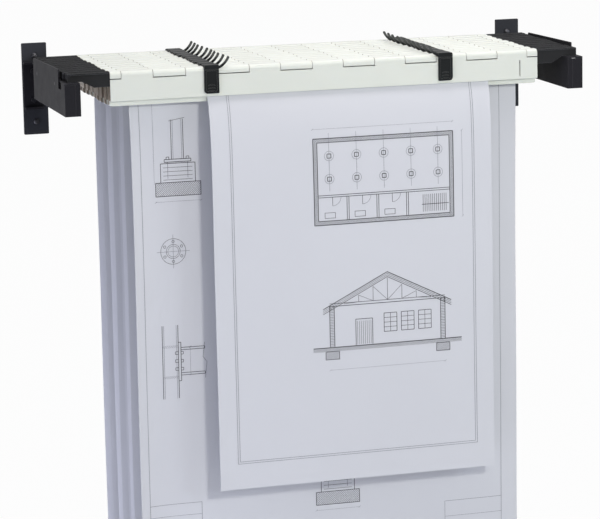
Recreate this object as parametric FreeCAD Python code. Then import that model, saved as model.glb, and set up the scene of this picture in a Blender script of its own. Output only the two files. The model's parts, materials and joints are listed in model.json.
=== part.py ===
import FreeCAD, Part
import math
import os
from FreeCAD import Vector

# A wall rack for large drawings. Two brackets carry ten hinged binders, and each
# binder grips a set of sheets along its top edge. Millimetres, +Z up, +X to the
# right along the binders, fronts towards -Y. The wall is the plane y = 0, and the
# origin is the centre of the four wall screws.

# Wall plates
plate_width = 38.0
plate_height = 139.0
plate_thickness = 3.0
plate_corner = 1.5
fixing_spacing = 100.0
fixing_radius = 2.75

# Arms, folded from sheet
arm_sheet = 2.0
arm_reach = 292.0
arm_width = 23.0
arm_height = 47.5
arm_top = 40.5
arm_set_in = 5.0
hanger_end_gap = 3.7
seat_width_at_wall = 14.0
nose_flange = 15.5
nose_gap = 0.6
stop_height = 16.5
stop_height_at_wall = 13.5
stop_start = 66.0
stop_length = 182.0
stop_corner = 1.5
notch_length = 19.0
notch_depth = 11.5
tab_depth = 10.0
tab_length = 170.0

# Feet of the arms
foot_thickness = 3.0
foot_width = 29.0
foot_above_arm = 1.0
foot_height = 72.0
foot_lip_depth = 6.0
foot_screw_spacing = 44.0
foot_screw_radius = 2.0
screw_head_radius = 3.8
screw_head_height = 2.2
rivet_radius = 2.5
rivet_spacing = 130.0

# Binders
binder_count = 10
binder_pitch = 24.0
binder_reach = 279.0
binder_depth = 17.0
jaw_height = 43.0
jaw_wall = 2.2
lip_drop = 8.0
lip_corner = 3.0
back_corner = 1.5
sideways_play = 1.2

# Jaw hinge
barrel_radius = 5.5
rod_radius = 1.5
end_finger = 16.0
finger_spaces = 13
finger_drop = 4.8
knuckle_gap = 0.6
finger_gap = 1.4
running_gap = 0.05
part_gap = 0.3

# Grip on the sheets
sheet_insert = 21.0
grip_height = 10.0
grip_set_back = 7.2
rib_thickness = 2.2
sheet_gap = 0.1
end_wall = 2.0
edge_slit_width = 1.2
edge_slit_height = 24.0
edge_slit_from_end = 27.0
edge_slit_below_top = 15.0

# Hangers
hanger_length = 62.0
hanger_depth = 14.6
hanger_top_drop = 0.5
hanger_root_height = 21.0
hanger_tip_height = 11.8
hanger_root_length = 23.0
hanger_slope_length = 16.0
hanger_cap_thickness = 2.0
hanger_cap_overhang = 1.0
hanger_corner = 1.0
spigot_length = 24.0
seat_gap = 0.2

# Clips
clip_spacing = 356.0
clip_shift = 2.4
clip_width = 22.0
clip_drop = 39.0
clip_sheet = 2.0
clip_gap = 0.3
clip_fold_radius = 1.4
clip_outer_corner = 5.0
clip_inner_corner = 1.5
clip_groove_drop = 4.0
clip_groove_height = 1.0
clip_groove_depth = 0.8
clip_pin_radius = 0.8
clip_barrel_radius = 2.4
clip_hood_reach = 0.4
clip_lug_radius = 1.6
clip_lug_width = 4.0
clip_lug_set_in = 0.8
clip_lug_root = 7.0
clip_lug_gap = 0.4
panel_margin = 3.0
panel_top_margin = 1.5
panel_depth = 0.6
ridge_radius = 0.7
ridge_bend_radius = 16.0
ridge_from_end = 3.8
ridge_pitch = 4.4
ridge_count = 3
horn_width = 2.2
horn_radius = 28.0
horn_root_slope = 24.0
horn_tip_slope = 66.0
horn_root_drop = 1.7
horn_thickness = 3.4

# Sheets
large_sheet = (594.0, 841.0)
small_sheet = (430.0, 610.0)
large_sheet_shift = 6.0
small_sheet_shift = 35.5
sheet_creep = 1.25
sheet_set_thickness = 2.0
swell_drops = (30.0, 80.0)
swell_reaches = (10.0, 16.0)
swell_at_foot = 21.0
sheet_margin = 28.0

# Places worked out from the sizes above
binder_length = large_sheet[0] + 2.0 * sheet_margin
binder_end = binder_length / 2.0
arm_outer = binder_end + part_gap + hanger_length + hanger_end_gap + arm_sheet
arm_inner = arm_outer - arm_width
arm_bottom = arm_top - arm_height
plate_centre = arm_outer + arm_set_in - plate_width / 2.0
binder_top = arm_top + seat_gap + hanger_top_drop + hanger_tip_height
hinge_y = barrel_radius
hinge_z = -barrel_radius
finger_pitch = (binder_length - 2.0 * end_finger) / finger_spaces
finger_tip = hinge_z - finger_drop
lip_z = -jaw_height - lip_drop
grip_top = -jaw_height + grip_height
sheet_top = -jaw_height + sheet_insert
pad_y = grip_set_back + sheet_set_thickness + 2.0 * sheet_gap
inner_back = binder_depth - jaw_wall
clip_centre = clip_spacing / 2.0
clip_back = binder_depth + clip_gap + clip_sheet
clip_top = clip_gap + clip_sheet
clip_front = -clip_gap - clip_sheet
pivot_reach = clip_width / 2.0 - clip_barrel_radius
pivot_z = clip_top - clip_barrel_radius
lug_back = binder_depth - clip_lug_set_in
lug_front = lug_back - clip_lug_width


def box(x0, x1, y0, y1, z0, z1):
    return Part.makeBox(x1 - x0, y1 - y0, z1 - z0, Vector(x0, y0, z0))


def rod_along_y(radius, x, z, y0, y1):
    return Part.makeCylinder(radius, y1 - y0, Vector(x, y0, z), Vector(0, 1, 0))


def rod_along_x(radius, y, z, x0, x1):
    return Part.makeCylinder(radius, x1 - x0, Vector(x0, y, z), Vector(1, 0, 0))


def joined(shapes):
    return shapes[0].multiFuse(shapes[1:]).removeSplitter()


def mirrored(shape):
    return shape.mirror(Vector(0, 0, 0), Vector(1, 0, 0))


def corner_arc(before, corner, after, radius):
    """Start, middle and end of the arc that rounds one corner of an outline."""
    back = (before - corner).normalize()
    ahead = (after - corner).normalize()
    half = back.getAngle(ahead) / 2.0
    reach = radius / math.tan(half)
    middle = corner + (back + ahead).normalize() * (radius / math.sin(half) - radius)
    return corner + back * reach, middle, corner + ahead * reach


def outline(corners, place):
    """A flat face from corners (a, b, radius); place puts (a, b) in space."""
    points = [place(a, b) for a, b, radius in corners]
    stretches = []
    for i, (a, b, radius) in enumerate(corners):
        if radius > 0:
            after = points[(i + 1) % len(points)]
            stretches.append(corner_arc(points[i - 1], points[i], after, radius))
        else:
            stretches.append((points[i],))
    edges = []
    for i, stretch in enumerate(stretches):
        if len(stretch) == 3:
            edges.append(Part.Arc(*stretch).toShape())
        ahead = stretches[(i + 1) % len(stretches)][0]
        if (ahead - stretch[-1]).Length > 1e-6:
            edges.append(Part.LineSegment(stretch[-1], ahead).toShape())
    return Part.Face(Part.Wire(edges))


def bar_along_x(corners, x0, x1):
    """A bar whose section has corners (y, z, radius)."""
    face = outline(corners, lambda y, z: Vector(x0, y, z))
    return face.extrude(Vector(x1 - x0, 0, 0))


def plate_across_y(corners, y0, y1):
    """A plate whose outline seen from the front has corners (x, z, radius)."""
    face = outline(corners, lambda x, z: Vector(x, y0, z))
    return face.extrude(Vector(0, y1 - y0, 0))


def rectangle(x0, x1, z0, z1, radius=0.0):
    return [(x0, z0, radius), (x1, z0, radius), (x1, z1, radius), (x0, z1, radius)]


# Brackets, made for the right-hand side and mirrored for the left

def wall_plate():
    x0 = plate_centre - plate_width / 2.0
    half = plate_height / 2.0
    plate = plate_across_y(rectangle(x0, x0 + plate_width, -half, half, plate_corner), -plate_thickness, 0.0)
    for z in (-fixing_spacing / 2.0, fixing_spacing / 2.0):
        plate = plate.cut(rod_along_y(fixing_radius, plate_centre, z, -plate_thickness, 0.0))
    for x, z in foot_screw_places():
        plate = plate.cut(rod_along_y(foot_screw_radius, x, z, -plate_thickness, 0.0))
    return plate


def foot_screw_places():
    x = arm_inner + (arm_sheet + arm_width) / 2.0
    middle = arm_top + foot_above_arm - foot_height / 2.0
    return [(x, middle - foot_screw_spacing / 2.0), (x, middle + foot_screw_spacing / 2.0)]


def arm():
    """Foot, inner side, seat, bottom and narrow nose of one arm, with the tab for the stop rail."""
    foot_back = -plate_thickness
    foot_front = foot_back - foot_thickness
    foot_x1 = arm_inner + foot_width - arm_sheet
    foot_x0 = foot_x1 - foot_width
    foot_z1 = arm_top + foot_above_arm
    foot_z0 = foot_z1 - foot_height
    lip_y = foot_front - foot_lip_depth
    seat_z = arm_top - arm_sheet
    rail_x = arm_outer - arm_sheet
    front = -arm_reach + arm_sheet
    pieces = [box(foot_x0, foot_x1, foot_front, foot_back, foot_z0, foot_z1),
              box(arm_inner + arm_sheet, foot_x1, lip_y, foot_front, foot_z1 - foot_thickness, foot_z1),
              box(foot_x0, foot_x1, lip_y, foot_front, foot_z0, foot_z0 + foot_thickness),
              box(arm_inner, arm_inner + arm_sheet, front, foot_front, arm_bottom, arm_top),
              box(arm_inner, arm_inner + seat_width_at_wall, front, foot_front, seat_z, arm_top),
              box(arm_inner, rail_x, -arm_reach, -stop_start, seat_z, arm_top),
              box(arm_inner, rail_x, front, -stop_start, arm_bottom, arm_bottom + arm_sheet),
              nose_plate(arm_inner, arm_outer - nose_flange - part_gap),
              tab(rail_x)]
    whole = joined(pieces)
    for x, z in foot_screw_places():
        whole = whole.cut(rod_along_y(foot_screw_radius, x, z, foot_front, foot_back))
    for y in rivet_places():
        whole = whole.cut(rod_along_x(rivet_radius, y, rivet_z(), rail_x - arm_sheet, rail_x))
    return whole


def nose_plate(x0, x1):
    """Part of the closed front end, just below the seat."""
    return box(x0, x1, -arm_reach, -arm_reach + arm_sheet, arm_bottom, arm_top - arm_sheet - nose_gap)


def tab(rail_x):
    z1 = arm_top
    middle = tab_middle()
    return box(rail_x - arm_sheet, rail_x, middle - tab_length / 2.0, middle + tab_length / 2.0,
               z1 - arm_sheet - tab_depth, z1)


def tab_middle():
    return -(stop_start + stop_length / 2.0)


def rivet_places():
    return [tab_middle() - rivet_spacing / 2.0, tab_middle() + rivet_spacing / 2.0]


def rivet_z():
    return arm_top - arm_sheet - tab_depth / 2.0


def stop_rail():
    """Outer side of one arm: the raised stop behind, a notch, and the wide nose in front."""
    rail_x = arm_outer - arm_sheet
    stop_end = -stop_start - stop_length
    side = box(rail_x, arm_outer, -arm_reach, -stop_start, arm_bottom, arm_top)
    stop = bar_along_x([(stop_end, arm_top, 0), (-stop_start, arm_top, 0),
                        (-stop_start, arm_top + stop_height_at_wall, stop_corner),
                        (stop_end, arm_top + stop_height, stop_corner)], rail_x, arm_outer)
    whole = joined([side, stop, nose_plate(arm_outer - nose_flange, arm_outer)])
    whole = whole.cut(box(rail_x, arm_outer, stop_end - notch_length, stop_end, arm_top - notch_depth, arm_top))
    for y in rivet_places():
        whole = whole.cut(rod_along_x(rivet_radius, y, rivet_z(), rail_x, arm_outer))
    return whole


def arm_fasteners():
    """Foot screws and flush rivets of one arm."""
    foot_front = -plate_thickness - foot_thickness
    solids = []
    for x, z in foot_screw_places():
        shank = rod_along_y(foot_screw_radius, x, z, foot_front, 0.0)
        head = rod_along_y(screw_head_radius, x, z, foot_front - screw_head_height, foot_front)
        solids.append(shank.fuse(head))
    rail_x = arm_outer - arm_sheet
    for y in rivet_places():
        solids.append(rod_along_x(rivet_radius, y, rivet_z(), rail_x - arm_sheet, arm_outer))
    return solids


# Binders, made with the front face at y = 0 and the top at z = 0

def finger_zones(first):
    """Stretches of the hinge, end to end, that belong to every other space from first."""
    start = -binder_end + end_finger
    return [(start + i * finger_pitch, start + (i + 1) * finger_pitch)
            for i in range(first, finger_spaces, 2)]


def back_jaw():
    """Spine with the top, the wrapped hinge fingers, the grip pad and the end walls."""
    spine = bar_along_x([(inner_back, lip_z, 0), (binder_depth, lip_z, 0),
                         (binder_depth, 0, back_corner), (hinge_y, 0, 0),
                         (hinge_y, -jaw_wall, 0), (inner_back, -jaw_wall, 0)], -binder_end, binder_end)
    pad = box(-binder_end, binder_end, pad_y, inner_back, lip_z, grip_top)
    whole = joined([spine, pad] + end_walls())
    room = rod_along_x(barrel_radius + part_gap, hinge_y, hinge_z, -binder_end, binder_end)
    whole = whole.cut(room)
    fingers = []
    for x0, x1 in [(-binder_end, -binder_end + end_finger), (binder_end - end_finger, binder_end)]:
        fingers.append(finger(x0, x1))
    for x0, x1 in finger_zones(1):
        fingers.append(finger(x0, x1))
    whole = joined([whole] + fingers)
    for side in (-1, 1):
        whole = joined([whole.cut(clip_pocket(side)), clip_lug(side)])
        whole = whole.cut(rod_along_y(clip_pin_radius + running_gap, pivot_x(side), pivot_z, 0.0, binder_depth))
    limits = plate_across_y([(-binder_end, lip_z, lip_corner), (binder_end, lip_z, lip_corner),
                             (binder_end, clip_top * 4, 0), (-binder_end, clip_top * 4, 0)],
                            0.0, binder_depth)
    return whole.common(limits)


def finger(x0, x1):
    """A barrel round the rod, joined to the top and carried down over the front edge."""
    drop = box(x0, x1, 0.0, jaw_wall, finger_tip, hinge_z)
    web = box(x0, x1, hinge_y, hinge_y + barrel_radius + 2.0 * part_gap, -jaw_wall, 0.0)
    whole = joined([rod_along_x(barrel_radius, hinge_y, hinge_z, x0, x1), drop, web])
    return whole.cut(rod_along_x(rod_radius, hinge_y, hinge_z, x0, x1))


def end_walls():
    y0 = jaw_wall + part_gap
    z1 = -hanger_top_drop - hanger_root_height - part_gap
    z0 = -jaw_height
    return [box(-binder_end, -binder_end + end_wall, y0, inner_back, z0, z1),
            box(binder_end - end_wall, binder_end, y0, inner_back, z0, z1)]


def pivot_x(side):
    return side * (clip_centre + pivot_reach) + clip_shift


def clip_pocket(side):
    """Dip across the top of the binder, in which the eyes of one clip turn."""
    half = clip_barrel_radius + part_gap
    x = pivot_x(side)
    return box(x - half, x + half, 0.0, binder_depth, pivot_z - half, clip_top)


def clip_lug(side):
    """Ear that stands on the spine in the pocket and holds the pin of one clip."""
    x = pivot_x(side)
    ear = rod_along_y(clip_lug_radius, x, pivot_z, lug_front, lug_back)
    neck = box(x - clip_lug_radius, x + clip_lug_radius, lug_front, lug_back, -clip_lug_root, pivot_z)
    return ear.fuse(neck)


def front_jaw():
    """Front plate with knuckles round the rod, a bottom flange and a grip rib."""
    edge = binder_end - end_wall - part_gap
    plate_top = finger_tip - finger_gap
    plate = box(-binder_end, binder_end, 0.0, jaw_wall, -jaw_height, plate_top)
    room = rod_along_x(barrel_radius + part_gap, hinge_y, hinge_z, -binder_end, binder_end)
    plate = plate.cut(room)
    flange = box(-edge, edge, 0.0, grip_set_back, -jaw_height, -jaw_height + jaw_wall)
    rib = box(-edge, edge, grip_set_back - rib_thickness, grip_set_back, -jaw_height, grip_top)
    knuckles = [knuckle(x0 + knuckle_gap, x1 - knuckle_gap, plate_top) for x0, x1 in finger_zones(0)]
    whole = joined([plate, flange, rib] + knuckles)
    for side in (-1, 1):
        whole = whole.cut(clip_pocket(side))
    slit_x = binder_end - edge_slit_from_end
    return whole.cut(box(slit_x - edge_slit_width, slit_x, 0.0, jaw_wall,
                         -edge_slit_below_top - edge_slit_height, -edge_slit_below_top))


def knuckle(x0, x1, plate_top):
    strap = box(x0, x1, 0.0, jaw_wall, plate_top, hinge_z)
    whole = rod_along_x(barrel_radius, hinge_y, hinge_z, x0, x1).fuse(strap)
    return whole.cut(rod_along_x(rod_radius + running_gap, hinge_y, hinge_z, x0, x1))


def hinge_rod():
    return rod_along_x(rod_radius, hinge_y, hinge_z, -binder_end, binder_end)


def hanger():
    """Black end bar: a spigot inside the binder and a bar that rests on the arm."""
    x0 = binder_end + part_gap
    x1 = x0 + hanger_length
    shoulder = x0 + hanger_root_length
    foot_of_slope = shoulder + hanger_slope_length
    top = -hanger_top_drop
    y0 = (binder_depth - hanger_depth) / 2.0
    y1 = y0 + hanger_depth
    tip_z = top - hanger_tip_height
    root_z = top - hanger_root_height
    bar = plate_across_y([(x0, root_z, 0), (shoulder, root_z, hanger_corner), (foot_of_slope, tip_z, hanger_corner),
                          (x1, tip_z, hanger_corner), (x1, top, hanger_corner), (x0, top, 0)], y0, y1)
    cap = box(x0, x1 - hanger_corner, y0 - hanger_cap_overhang, y1 + hanger_cap_overhang,
              top - hanger_cap_thickness, top)
    spigot = box(x0 - part_gap - spigot_length, x0, jaw_wall + part_gap, inner_back - sheet_gap,
                 root_z + part_gap, hinge_z - barrel_radius - part_gap)
    return joined([bar, cap, spigot])


# Clips, made for the left-hand side with the middle of the clip at x = 0

def clip():
    """A saddle over the binder with two legs, eyes on the pin and a curved finger horn."""
    saddle = bar_along_x(saddle_section(), -clip_width / 2.0, clip_width / 2.0)
    whole = joined([saddle.common(clip_outline())] + clip_eyes())
    whole = whole.cut(lug_room()).cut(thumb_panel()).cut(groove())
    whole = joined([whole, horn()] + thumb_ridges())
    return whole.cut(clip_pin())


def clip_pin():
    """Pressed into the eyes and hidden inside the two legs."""
    return rod_along_y(clip_pin_radius, -pivot_reach, pivot_z, clip_front + clip_fold_radius,
                       clip_back - clip_fold_radius)


def saddle_section():
    """Two legs and a bridge, folded over the binder."""
    low = -clip_drop
    fold = clip_fold_radius
    return [(clip_front, low, 0), (clip_front + clip_sheet, low, 0), (clip_front + clip_sheet, clip_gap, 0),
            (clip_back - clip_sheet, clip_gap, 0), (clip_back - clip_sheet, low, 0), (clip_back, low, 0),
            (clip_back, clip_top, fold), (clip_front, clip_top, fold)]


def clip_outline():
    """Seen from the front; the top outer corner is round about the pin."""
    half = clip_width / 2.0
    shape = [(-half, -clip_drop, clip_outer_corner), (half, -clip_drop, clip_inner_corner),
             (half, clip_top, 0), (-half, clip_top, clip_barrel_radius)]
    return plate_across_y(shape, clip_front, clip_back)


def clip_eyes():
    """Two barrels round the pin under the bridge, one each side of the lug."""
    spans = [(clip_front + clip_fold_radius, lug_front - clip_lug_gap),
             (lug_back + clip_lug_gap, clip_back - clip_fold_radius)]
    return [rod_along_y(clip_barrel_radius, -pivot_reach, pivot_z, y0, y1) for y0, y1 in spans]


def lug_room():
    """Space round the lug, open at the outer end so that the clip can swing right over."""
    y0 = lug_front - clip_lug_gap
    y1 = lug_back + clip_lug_gap
    room = rod_along_y(clip_lug_radius + part_gap, -pivot_reach, pivot_z, y0, y1)
    mouth = box(-clip_width / 2.0, -pivot_reach - clip_hood_reach, y0, y1, pivot_z - clip_barrel_radius, clip_top)
    return room.fuse(mouth)


def horn():
    """Curved finger lever that climbs from the inner edge of the front leg."""
    root = math.radians(horn_root_slope)
    tip = math.radians(horn_tip_slope)
    centre_x = clip_width / 2.0 - horn_radius * math.sin(root)
    centre_z = -horn_root_drop + horn_radius * math.cos(root)
    outer = horn_radius + horn_thickness / 2.0
    inner = horn_radius - horn_thickness / 2.0

    def at(radius, angle):
        return Vector(centre_x + radius * math.sin(angle), clip_front, centre_z - radius * math.cos(angle))

    middle = tip / 2.0
    over_tip = at(horn_radius, tip + horn_thickness / 2.0 / horn_radius)
    edges = [Part.Arc(at(outer, 0), at(outer, middle), at(outer, tip)).toShape(),
             Part.Arc(at(outer, tip), over_tip, at(inner, tip)).toShape(),
             Part.Arc(at(inner, tip), at(inner, middle), at(inner, 0)).toShape(),
             Part.LineSegment(at(inner, 0), at(outer, 0)).toShape()]
    whole = Part.Face(Part.Wire(edges)).extrude(Vector(0, horn_width, 0))
    beside_leg = box(clip_width / 2.0, clip_width * 2.0, clip_front, clip_front + horn_width,
                     -horn_radius, horn_radius)
    return whole.common(beside_leg)


def groove():
    """Shallow line across the front leg, just under the fold."""
    half = clip_width / 2.0
    z1 = -clip_groove_drop
    return box(-half, half, clip_front, clip_front + clip_groove_depth, z1 - clip_groove_height, z1)


def thumb_panel():
    half = clip_width / 2.0 - panel_margin
    z1 = -clip_groove_drop - clip_groove_height - panel_top_margin
    shape = rectangle(-half, half, -clip_drop + panel_margin, z1, panel_margin / 2.0)
    return plate_across_y(shape, clip_front, clip_front + panel_depth)


def thumb_ridges():
    """Bent ribs across the panel that stop a thumb from slipping."""
    half = clip_width / 2.0 - panel_margin * 2.0
    y = clip_front + panel_depth
    ridges = []
    for i in range(ridge_count):
        z = -clip_drop + ridge_from_end + i * ridge_pitch
        ring = Part.makeTorus(ridge_bend_radius, ridge_radius, Vector(0, y, z - ridge_bend_radius), Vector(0, 1, 0))
        ridges.append(ring.common(box(-half, half, clip_front, y + panel_depth, z - ridge_bend_radius, z + half)))
    return ridges


# Sheets

def sheet_set(size, shift):
    width, height = size
    y0 = grip_set_back + sheet_gap
    return box(shift - width / 2.0, shift + width / 2.0, y0, y0 + sheet_set_thickness,
               sheet_top - height, sheet_top)


def swelling_set(size, shift):
    """The front set, which swings forward under the jaws and hangs clear of the lip."""
    width, height = size
    y0 = grip_set_back + sheet_gap
    jaw_foot = -jaw_height - part_gap
    places = [(y0, sheet_top), (y0, jaw_foot)]
    places += [(y0 - reach, jaw_foot - drop) for drop, reach in zip(swell_drops, swell_reaches)]
    places.append((y0 - swell_at_foot, sheet_top - height))
    front = [(y, z, 0) for y, z in places]
    back = [(y + sheet_set_thickness, z, 0) for y, z in reversed(places)]
    return bar_along_x(front + back, shift - width / 2.0, shift + width / 2.0)


# Writing the nodes

def write(name, solids):
    shape = solids[0] if len(solids) == 1 else Part.makeCompound(solids)
    shape.exportStep("parts/" + name + ".step")


def write_brackets():
    fasteners = []
    for side, turn in (("right", lambda shape: shape), ("left", mirrored)):
        write(side + "_wall_plate", [turn(wall_plate())])
        write(side + "_arm", [turn(arm())])
        write(side + "_stop_rail", [turn(stop_rail())])
        fasteners += [turn(shape) for shape in arm_fasteners()]
    write("arm_screws_and_rivets", fasteners)


def binder_place(index):
    """Where a binder hangs: pushed a little sideways on the arms, as after use."""
    swing = math.cos(4.0 * math.pi * index / max(binder_count - 1, 1))
    return Vector(sideways_play * swing, -binder_reach + index * binder_pitch, binder_top)


def write_binder(index, jaws, rod, end_bar, grip):
    """The front binder has a node for each piece, and the others keep theirs together."""
    name = "binder_%02d" % (index + 1)
    place = binder_place(index)

    def put(shape):
        moved = shape.copy()
        moved.translate(place)
        return moved

    for side, word, turn in ((-1, "left", lambda shape: shape.copy()), (1, "right", mirrored)):
        solids = [turn(shape) for shape in grip]
        for shape in solids:
            shape.translate(Vector(side * clip_centre + clip_shift, 0, 0))
        write(name + "_clip_" + word, [put(shape) for shape in solids])
    write(name + "_hangers", [put(end_bar), put(mirrored(end_bar))])
    if index == 0:
        write(name + "_back_jaw", [put(jaws[0])])
        write(name + "_front_jaw", [put(jaws[1])])
        write(name + "_hinge_rod", [put(rod)])
        write(name + "_sheets", [put(swelling_set(small_sheet, small_sheet_shift))])
    else:
        write(name + "_jaws", [put(shape) for shape in jaws + [rod]])
        shift = large_sheet_shift - sheet_creep * (index - 1)
        write(name + "_sheets", [put(sheet_set(large_sheet, shift))])


def main():
    os.makedirs("parts", exist_ok=True)
    write_brackets()
    jaws = [back_jaw(), front_jaw()]
    rod = hinge_rod()
    end_bar = hanger()
    grip = [clip(), clip_pin()]
    for index in range(binder_count):
        write_binder(index, jaws, rod, end_bar, grip)


main()
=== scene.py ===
import json
import math

import bmesh
import bpy
from mathutils import Matrix, Vector


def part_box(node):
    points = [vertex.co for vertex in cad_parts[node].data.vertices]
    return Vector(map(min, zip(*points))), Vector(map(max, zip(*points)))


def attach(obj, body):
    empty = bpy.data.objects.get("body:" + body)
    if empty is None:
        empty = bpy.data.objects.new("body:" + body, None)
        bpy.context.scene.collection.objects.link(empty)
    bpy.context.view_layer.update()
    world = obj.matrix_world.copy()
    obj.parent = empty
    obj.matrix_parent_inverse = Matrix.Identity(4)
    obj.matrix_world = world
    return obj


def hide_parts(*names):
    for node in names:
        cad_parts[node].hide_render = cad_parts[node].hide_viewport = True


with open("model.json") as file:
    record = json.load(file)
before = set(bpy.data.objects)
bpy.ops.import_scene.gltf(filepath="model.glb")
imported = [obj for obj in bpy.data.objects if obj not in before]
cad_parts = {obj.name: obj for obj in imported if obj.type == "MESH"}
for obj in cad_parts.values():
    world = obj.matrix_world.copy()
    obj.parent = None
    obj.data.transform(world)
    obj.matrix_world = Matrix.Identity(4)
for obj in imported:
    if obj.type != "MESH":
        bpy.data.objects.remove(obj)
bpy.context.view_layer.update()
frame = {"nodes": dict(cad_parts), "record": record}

# Dresses a wall rack for large drawings: ten binders with ivory jaws, black end
# hangers and swing clips, each with its set of drawing sheets. Metres throughout,
# except on the drawings, which are laid out in millimetres.

MM = 0.001

# Camera: its place, and where it looks from there, in degrees
CAMERA_PLACE = Vector((-1.24135, -4.44415, 0.55957))
CAMERA_HEADING = 16.001
CAMERA_PITCH = -10.4395
CAMERA_ROLL = -1.1345
CAMERA_LENS = 179.83
CAMERA_SENSOR = 36.0
CAMERA_REACH = 100.0

# Light
KEY_PLACE = Vector((0.40, -2.30, 0.58))
KEY_AIM = Vector((0.0, -0.27, -0.20))
KEY_SIZE = (0.28, 0.28)
KEY_POWER = 15.7
KEY_COLOUR = (1.0, 0.985, 0.95)
TOP_PLACE = Vector((0.22, -0.42, 1.45))
TOP_AIM = Vector((0.05, -0.15, 0.05))
TOP_SIZE = (1.6, 1.0)
TOP_POWER = 19.6
TOP_COLOUR = (1.0, 0.955, 0.985)
LEFT_PLACE = Vector((-1.65, -0.72, -0.95))
LEFT_AIM = Vector((-0.27, -0.12, -0.60))
LEFT_SIZE = (0.9, 0.9)
LEFT_POWER = 18.0
LEFT_COLOUR = (0.80, 0.81, 1.0)
RIGHT_PLACE = Vector((2.40, -2.00, 0.20))
RIGHT_AIM = Vector((0.30, -0.20, -0.25))
RIGHT_SIZE = (1.2, 1.2)
RIGHT_POWER = 21.0
RIGHT_COLOUR = (0.86, 0.91, 1.0)
ROOM_LIGHT = 0.32
ROOM_COLOUR = (0.88, 0.90, 1.0, 1.0)
WHITE = (1.0, 1.0, 1.0, 1.0)

# Floor: the colour it has for the light, and how white it is shown
FLOOR_LEVEL = -1.30
FLOOR_SIZE = 40.0
FLOOR_TONE = (0.8, 0.8, 0.8, 1.0)
FLOOR_WHITE = 0.97

# Where a gloss begins to show the white behind the rack, and where it shows it fully:
# for the room as a direction towards +Y, for the floor as a place along Y
ROOM_BEHIND = (-0.3, 0.5)
FLOOR_BEHIND = (-2.0, 1.0)

# Sheets: how thick they are, and how much of their length the jaws hold
LEAVES_PER_SET = 3
SET_THICKNESS = 2.0 * MM
LEAF_THICKNESS = 0.25 * MM
HELD_LENGTH = 21.3 * MM

# How far to the right of its slab each set hangs, in millimetres and from the front
# binder back, and how much higher than its slab the front set is held
OUT_OF_LINE = (-1.6, -0.5, -1.0, 0.5, 1.5, -0.5, 0.5, -1.0, 0.0, 0.5)
FRONT_SET_LIFT = 2.5 * MM

# The lengths over which a sheet swells out below the jaws and over which its margins
# come free to bend, how wide those are, and the bend in radians that counts as none
BULGE_LENGTH = 35.0 * MM
MARGIN_FREE = 80.0 * MM
MARGIN_WIDTH = 60.0 * MM
NO_BEND = 0.001

# How far the front set swells out at its left and right, and the others on average,
# with their spread, and how much less each leaf further back does
FRONT_SWELL = (18.0 * MM, 17.0 * MM)
REAR_SWELL = 4.0 * MM
SWELL_SPREAD = 1.5 * MM
LESS_BEHIND = 0.4 * MM

# The turn-up of the foot, the share of the free length above it, and the middle's bow
FOOT_CURL = 0.8 * MM
FOOT_CURL_START = 0.9
SAG = 1.0 * MM

# The rear sets differ by sines, which run on by the first angle from set to set and by
# the second from a set's left side to its right, in radians
SET_TO_SET = 1.7
LEFT_TO_RIGHT = 1.57

# Waver down the sides of a sheet: its waves from jaws to foot, how far they slant from
# side to side, how they shift with the sheet's place, and how soon they are full
WAVES_DOWN = 1.7
WAVES_SLANT = 0.3
WAVES_SHIFT = 40.0
WAVES_GROWTH = 3.0

# The net of a sheet's face, with its rows closer together at the top
LEAF_COLUMNS = 40
LEAF_ROWS = 60
ROW_SPREAD = 1.5

# Drawing: the height of a line above the paper, the steps of a stroke in millimetres and
# of an arc in degrees, and the width of the ticks at the ends of a dimension line
LINE_LIFT = 0.2 * MM
STROKE_STEP = 12.0
ARC_STEP = 12.0
FEWEST_ARC_STEPS = 6
TICK = 3.0

# The share of a pitch that saves the last line of a row from being rounded away
SPARE_PITCH = 0.01

# The made-up hall in plan, in millimetres on the sheet
HALL_WIDTH = 216.0
HALL_DEPTH = 128.0
HALL_WALL = 6.0
ROOMS_DOWN = 84.0
PARTITION = 3.0
PARTITIONS_ACROSS = (50.0, 96.0, 142.0)
DOOR_WIDTH = 13.0

# The same hall in section, with the drop and line width of each skin of its roof
SECTION_WIDTH = 180.0
SECTION_WALL = 7.0
WALL_HEIGHT = 62.0
ROOF_RISE = 46.0
ROOF_SKINS = ((0.0, 1.1), (2.5, 0.5), (5.0, 0.5), (7.5, 0.8))
ROOF_BAYS = 8
SLAB_DEPTH = 6.0
GROUND_REACH = 26.0

# The clips' flat tops, above which the horns are lighter, partly from finger wear and partly as
# painted highlight, the height over which that sets in, and how much of it there is
CLIP_TOP = 55.3 * MM
LIGHTENING_FADE = 5.0 * MM
LIGHTENING_SHARE = 0.6

# How strongly edges are lightened, as rubbed wear and painted highlight, and the
# samples that find an edge and that soften one
EDGE_STRENGTH = 2.8
FOUND_EDGE_SAMPLES = 6
SOFT_EDGE_SAMPLES = 4

# Where the painted shade on the jaws' faces near their ends begins and is full, from the middle
END_SHADE_SPAN = (320.0 * MM, 323.5 * MM)

# Wall screws, with their turn in degrees and how far it is off that either way
SCREW_HEAD_RADIUS = 4.2 * MM
SCREW_HEAD_HEIGHT = 2.5 * MM
SCREW_RIM_HEIGHT = 0.9 * MM
SCREW_SHANK_RADIUS = 2.4 * MM
SCREW_SIDES = 40
DOME_STEPS = 8
SCREW_TURN = 35.0
SCREW_TURN_OFF = 25.0


# Shader maths and materials

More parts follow.
